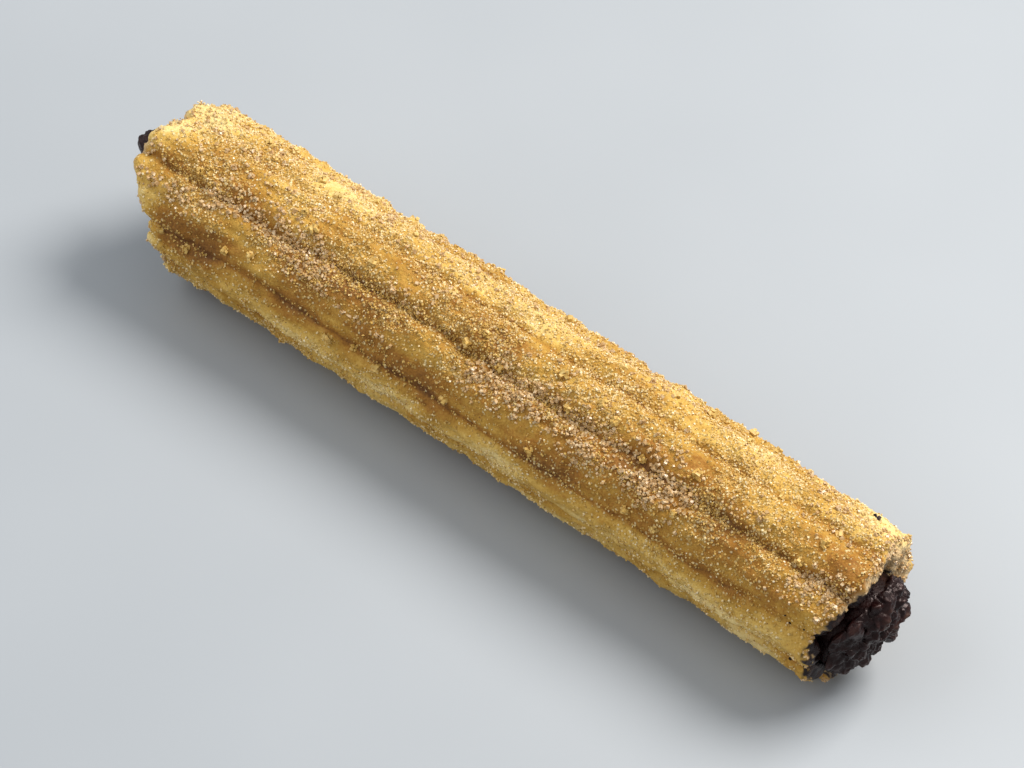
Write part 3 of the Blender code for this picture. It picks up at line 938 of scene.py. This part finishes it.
def ramp(tree, factor, stops):
    made = node(tree, "ShaderNodeValToRGB")
    elements = made.color_ramp.elements
    while len(elements) < len(stops):
        elements.new(0.5)
    for element, (place, colour) in zip(elements, stops):
        element.position = place
        element.color = (*colour, 1.0)
    tree.links.new(factor, made.inputs["Fac"])
    return made.outputs["Color"]


def grey(value):
    return (value, value, value)


def mixed(tree, factor, a, b):
    made = node(tree, "ShaderNodeMix", data_type="RGBA")
    for socket, value in ((made.inputs[0], factor), (made.inputs[6], a), (made.inputs[7], b)):
        if isinstance(value, (int, float)):
            socket.default_value = value
        elif isinstance(value, tuple):
            socket.default_value = (*value, 1.0)
        else:
            tree.links.new(value, socket)
    return made.outputs[2]


def grey_ramp(tree, factor, stops):
    return ramp(tree, factor, [(place, grey(value)) for place, value in stops])


def bump(tree, shader, height, relief):
    made = node(tree, "ShaderNodeBump", Strength=relief["strength"], Distance=relief["distance"])
    tree.links.new(height, made.inputs["Height"])
    tree.links.new(made.outputs["Normal"], shader.inputs["Normal"])


def browning_and_shade(tree, patches, mottle, grain):
    """How brown the crust is, 0 to 1, from its fried look with its painted shade and light, the
    tints of three sizes, and cinnamon with painted shade in the groove bottoms.
    """
    tone_with_painted_light = maths(tree, "MULTIPLY", value_of(tree, "toast"), BROWNING_AND_SHADE["toast"])
    for name, tint in (("patches", patches), ("mottle", mottle), ("grain", grain)):
        tone_with_painted_light = maths(tree, "ADD", tone_with_painted_light, maths(tree, "MULTIPLY", tint, BROWNING_AND_SHADE[name]))
    # Painted shade, with cinnamon caught there, darkens the bottoms of the grooves
    deep = maths(tree, "POWER", value_of(tree, "groove"), BROWNING_AND_SHADE["groove_shade_power"])
    tone_with_painted_light = maths(tree, "ADD", tone_with_painted_light, maths(tree, "MULTIPLY", deep, BROWNING_AND_SHADE["grooves"]))
    return maths(tree, "SUBTRACT", tone_with_painted_light, BROWNING_AND_SHADE["less"], clamp=True)


def flat_sugar(tree):
    """Sugar tinted on the crust: where its grains are, 0 to 1, and their colour."""
    from_middle, chance, tint = grain_node(tree, FLAT_SUGAR["size"])
    likely = maths(tree, "MULTIPLY", value_of(tree, "sugar"), FLAT_SUGAR["share"])
    there = maths(tree, "LESS_THAN", chance, likely)
    inside = maths(tree, "SUBTRACT", FLAT_SUGAR["radius"], from_middle)
    round_grain = maths(tree, "MULTIPLY", inside, FLAT_SUGAR["edge"], True)
    grains = maths(tree, "MULTIPLY", there, round_grain)
    sugar_colour = mixed(tree, value_of(tree, "coarse"), ramp(tree, tint, FINE_SUGAR_COLOURS),
                         ramp(tree, tint, COARSE_COLOURS))
    return grains, sugar_colour


def crust_material():
    made, tree, shader = material("crust")
    patches = noise_node(tree, *CRUST_PATCHES)
    mottle = noise_node(tree, *CRUST_MOTTLE)
    grain = noise_node(tree, *CRUST_GRAIN)
    colour = ramp(tree, browning_and_shade(tree, patches, mottle, grain), CRUST_COLOURS)
    grains, sugar_colour = flat_sugar(tree)
    strewn_on = maths(tree, "MULTIPLY", grains, FLAT_SUGAR["strength"])
    sugared = mixed(tree, strewn_on, colour, sugar_colour)
    colour = mixed(tree, value_of(tree, "torn"), sugared, ramp(tree, mottle, CRUMB_COLOURS))
    smeared = value_of(tree, "smeared")
    smear = maths(tree, "MULTIPLY", smeared, maths(tree, "ADD", mottle, SMEAR_EVENNESS), True)
    colour = mixed(tree, smear, colour, ramp(tree, mottle, SMEAR_COLOURS))
    tree.links.new(colour, shader.inputs["Base Color"])
    dry = grey_ramp(tree, mottle, DRY_ROUGHNESS)
    tree.links.new(mixed(tree, smear, dry, grey(SMEAR_ROUGHNESS)), shader.inputs["Roughness"])
    shader.inputs["Specular IOR Level"].default_value = CRUST_SPECULAR
    height = maths(tree, "ADD", grain, maths(tree, "MULTIPLY", mottle, CRUST_BUMP["mottle"]))
    height = maths(tree, "ADD", height, maths(tree, "MULTIPLY", grains, CRUST_BUMP["sugar"]))
    bump(tree, shader, height, CRUST_BUMP)
    return made


def filling_material():
    made, tree, shader = material("filling")
    streaks = noise_node(tree, *FILLING_STREAKS)
    grain = noise_node(tree, *FILLING_SPECKS)
    # Painted highlight: the proud lumps are coloured lighter than the hollows
    tone_with_painted_light = maths(tree, "ADD", maths(tree, "MULTIPLY", streaks, FILLING_TONE_AND_HIGHLIGHT["streaks"]),
                 maths(tree, "MULTIPLY", value_of(tree, "proud"), FILLING_TONE_AND_HIGHLIGHT["proud"]))
    tree.links.new(ramp(tree, tone_with_painted_light, FILLING_COLOURS), shader.inputs["Base Color"])
    shine = grey_ramp(tree, grain, FILLING_ROUGHNESS)
    tree.links.new(shine, shader.inputs["Roughness"])
    shader.inputs["Specular IOR Level"].default_value = FILLING_SPECULAR
    shader.inputs["Specular Tint"].default_value = FILLING_SPECULAR_TINT
    bump(tree, shader, grain, FILLING_BUMP)
    return made


def sugar_material(name, finish):
    made, tree, shader = material(name)
    tint = noise_node(tree, *SUGAR_TINT)
    tree.links.new(ramp(tree, tint, finish["colours"]), shader.inputs["Base Color"])
    frost = noise_node(tree, *SUGAR_FROST)
    smoothest = finish["roughness"]
    frosted = grey_ramp(tree, frost, [(0.3, smoothest), (0.7, smoothest + FROST_RANGE)])
    tree.links.new(frosted, shader.inputs["Roughness"])
    shader.inputs["Transmission Weight"].default_value = finish["clear"]
    shader.inputs["IOR"].default_value = SUGAR_IOR
    return made


def lump_material():
    """Lumps of sugar tinted by the brownness of the crust that they are stuck to, painted shade
    included.
    """
    made, tree, shader = material("sugar_lumps")
    tint = noise_node(tree, *SUGAR_TINT)
    toast = maths(tree, "MULTIPLY", value_of(tree, "toast"), LUMP_BROWNING_AND_SHADE["toast"])
    brown = maths(tree, "SUBTRACT", toast, LUMP_BROWNING_AND_SHADE["less"], True)
    colour = mixed(tree, brown, ramp(tree, tint, LUMP_COLOURS), ramp(tree, tint, AMBER_COLOURS))
    tree.links.new(colour, shader.inputs["Base Color"])
    frosted = grey_ramp(tree, noise_node(tree, *SUGAR_FROST), LUMP_ROUGHNESS)
    tree.links.new(frosted, shader.inputs["Roughness"])
    return made


def wear(piece, made, node_name):
    piece.data.materials.clear()
    piece.data.materials.append(made)
    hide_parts(node_name)
    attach(piece, "root")


# The stage, the light and the camera

CAMERA_PLACE = Vector((0.2757, -0.4492, 0.6274))
AIM = Vector((0.0, 0.0, 0.0125))
SCREEN_ANGLE = math.radians(32.5)
LENS = 196.0
SENSOR_WIDTH = 36.0
NEAREST_SEEN = 0.01
FLOOR_SIZE = 3.0
KEY_LIGHT = {"place": Vector((0.20, 0.42, 0.62)), "size": 0.45, "power": 8.0,
             "colour": (1.0, 0.975, 0.94)}
FILL_LIGHT = {"place": Vector((-0.55, -0.35, 0.55)), "size": 0.9, "power": 3.0,
              "colour": (0.90, 0.95, 1.0)}
LIGHT_RIGHT = Vector((0.7, 0.7, 0.1)).normalized()
SURROUNDINGS = {"colour": (0.94, 0.97, 1.0, 1.0), "strength": 0.55}


def looking(place, aim, right):
    """A camera's or light's matrix at a place, looking at a point, with its right side given."""
    back = (place - aim).normalized()
    up = back.cross(right).normalized()
    side = up.cross(back)
    return Matrix((
        (side.x, up.x, back.x, place.x),
        (side.y, up.y, back.y, place.y),
        (side.z, up.z, back.z, place.z),
        (0, 0, 0, 1)))


def screen_right():
    """The camera's right side, with the churro running down to the right across the picture."""
    back = (CAMERA_PLACE - AIM).normalized()
    along = Vector((1, 0, 0))
    along = (along - along.dot(back) * back).normalized()
    across = back.cross(along)
    return math.cos(SCREEN_ANGLE) * along + math.sin(SCREEN_ANGLE) * across


def add_camera():
    camera = bpy.data.objects.new("camera", bpy.data.cameras.new("camera"))
    camera.data.lens = LENS
    camera.data.sensor_width = SENSOR_WIDTH
    camera.data.clip_start = NEAREST_SEEN
    camera.matrix_world = looking(CAMERA_PLACE, AIM, screen_right())
    bpy.context.scene.collection.objects.link(camera)
    bpy.context.scene.camera = camera


def add_light(name, kind):
    light = bpy.data.lights.new(name, "AREA")
    light.shape = "DISK"
    light.size = kind["size"]
    light.energy = kind["power"]
    light.color = kind["colour"]
    lamp = bpy.data.objects.new(name, light)
    lamp.matrix_world = looking(kind["place"], AIM, LIGHT_RIGHT)
    bpy.context.scene.collection.objects.link(lamp)


def add_world():
    world = bpy.data.worlds.new("studio")
    world.use_nodes = True
    background = world.node_tree.nodes["Background"]
    background.inputs["Color"].default_value = SURROUNDINGS["colour"]
    background.inputs["Strength"].default_value = SURROUNDINGS["strength"]
    bpy.context.scene.world = world


def add_floor():
    half = FLOOR_SIZE / 2
    corners = [(-half, -half, 0), (half, -half, 0), (half, half, 0), (-half, half, 0)]
    floor = new_piece("floor", corners, [(0, 1, 2, 3)], False)
    made, tree, shader = material("floor")
    tint = ramp(tree, noise_node(tree, *FLOOR_TINT), FLOOR_COLOURS)
    tree.links.new(tint, shader.inputs["Base Color"])
    shader.inputs["Roughness"].default_value = FLOOR_ROUGHNESS
    floor.data.materials.append(made)


def dress_crust():
    """The crust and everything that lies on it."""
    sugar = {name: sugar_material(name, finish) for name, finish in SUGAR_FINISHES.items()}
    for piece, made in ((make_crust(), crust_material()),
                        (strewn("sugar_pale", PALE_SUGAR), sugar["sugar_pale"]),
                        (strewn("sugar_amber", AMBER_SUGAR), sugar["sugar_amber"]),
                        (coarse_sugar(), sugar["sugar_coarse"]),
                        (fused_grains(), lump_material()),
                        (strewn("cinnamon", CINNAMON), sugar["cinnamon"])):
        wear(piece, made, "dough_shell")


def dress_filling():
    chocolate = filling_material()
    for piece in (make_filling(), filling_crumbs()):
        wear(piece, chocolate, "chocolate_filling")


def main():
    dress_crust()
    dress_filling()
    add_floor()
    add_world()
    add_light("key", KEY_LIGHT)
    add_light("fill", FILL_LIGHT)
    bpy.context.scene.view_settings.view_transform = "Standard"
    add_camera()


main()
